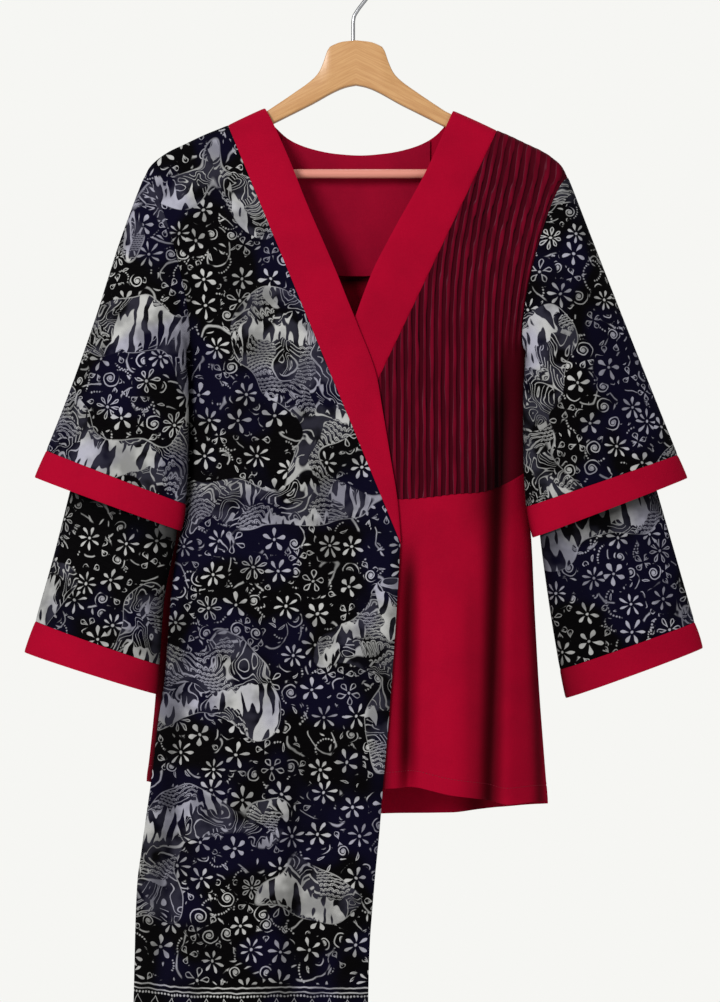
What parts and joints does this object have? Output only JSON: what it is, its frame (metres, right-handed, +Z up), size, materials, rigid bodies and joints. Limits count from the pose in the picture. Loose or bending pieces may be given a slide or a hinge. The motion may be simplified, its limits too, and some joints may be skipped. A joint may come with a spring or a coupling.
{
  "type": "batik wrap blouse on a wooden hanger",
  "caption": "Batik wrap blouse with red neckband, pintucked red front, long batik front and two-tier bell sleeves, hung on a flat wooden hanger with a steel hook.",
  "frame": {"origin": "top of the inside of the hanger's hook, where it rests on a rail", "axes": "+Z up, +X towards the wearer's left, -Y towards the front of the blouse"},
  "size_m": [0.713, 0.0875, 1.128],
  "materials": {
    "front_right_batik": "matte black and navy cotton with a grey-white wax-resist design",
    "front_left_pintucked": "matte dark red cotton with dark pintucks",
    "front_left_lower": "matte crimson cotton",
    "back": "matte crimson cotton",
    "neckband_right": "matte crimson cotton",
    "neckband_left": "matte crimson cotton",
    "back_neck_band": "matte crimson cotton",
    "back_neck_facing": "matte crimson cotton",
    "sleeve_left_upper": "matte black and navy cotton with a grey-white wax-resist design",
    "sleeve_left_upper_band": "matte crimson cotton",
    "sleeve_left_lower_high_front": "matte black and navy cotton with a grey-white wax-resist design",
    "sleeve_left_lower_low_front": "matte black and navy cotton with a grey-white wax-resist design",
    "sleeve_left_lower_high_back": "matte black and navy cotton with a grey-white wax-resist design",
    "sleeve_left_lower_low_back": "matte black and navy cotton with a grey-white wax-resist design",
    "sleeve_left_lower_band": "matte crimson cotton",
    "sleeve_right_upper": "matte black and navy cotton with a grey-white wax-resist design",
    "sleeve_right_upper_band": "matte crimson cotton",
    "sleeve_right_lower_high_front": "matte black and navy cotton with a grey-white wax-resist design",
    "sleeve_right_lower_low_front": "matte black and navy cotton with a grey-white wax-resist design",
    "sleeve_right_lower_high_back": "matte black and navy cotton with a grey-white wax-resist design",
    "sleeve_right_lower_low_back": "matte black and navy cotton with a grey-white wax-resist design",
    "sleeve_right_lower_band": "matte crimson cotton",
    "hanger_wood": "clear satin varnish on pale wood",
    "hanger_bar": "rose tinted round wooden bar",
    "hanger_hook": "plain steel wire"
  },
  "bodies": {
    "root": {"front_right_batik": "front_right_batik", "front_left_pintucked": "front_left_pintucked", "front_left_lower": "front_left_lower", "back": "back", "neckband_right": "neckband_right", "neckband_left": "neckband_left", "back_neck_band": "back_neck_band", "back_neck_facing": "back_neck_facing", "sleeve_left_upper": "sleeve_left_upper", "sleeve_left_upper_band": "sleeve_left_upper_band", "sleeve_left_lower_high_front": "sleeve_left_lower_high_front", "sleeve_left_lower_low_front": "sleeve_left_lower_low_front", "sleeve_left_lower_high_back": "sleeve_left_lower_high_back", "sleeve_left_lower_low_back": "sleeve_left_lower_low_back", "sleeve_left_lower_band": "sleeve_left_lower_band", "sleeve_right_upper": "sleeve_right_upper", "sleeve_right_upper_band": "sleeve_right_upper_band", "sleeve_right_lower_high_front": "sleeve_right_lower_high_front", "sleeve_right_lower_low_front": "sleeve_right_lower_low_front", "sleeve_right_lower_high_back": "sleeve_right_lower_high_back", "sleeve_right_lower_low_back": "sleeve_right_lower_low_back", "sleeve_right_lower_band": "sleeve_right_lower_band", "hanger_wood": "hanger_wood", "hanger_bar": "hanger_bar", "hanger_hook": "hanger_hook"}
  },
  "joints": []
}
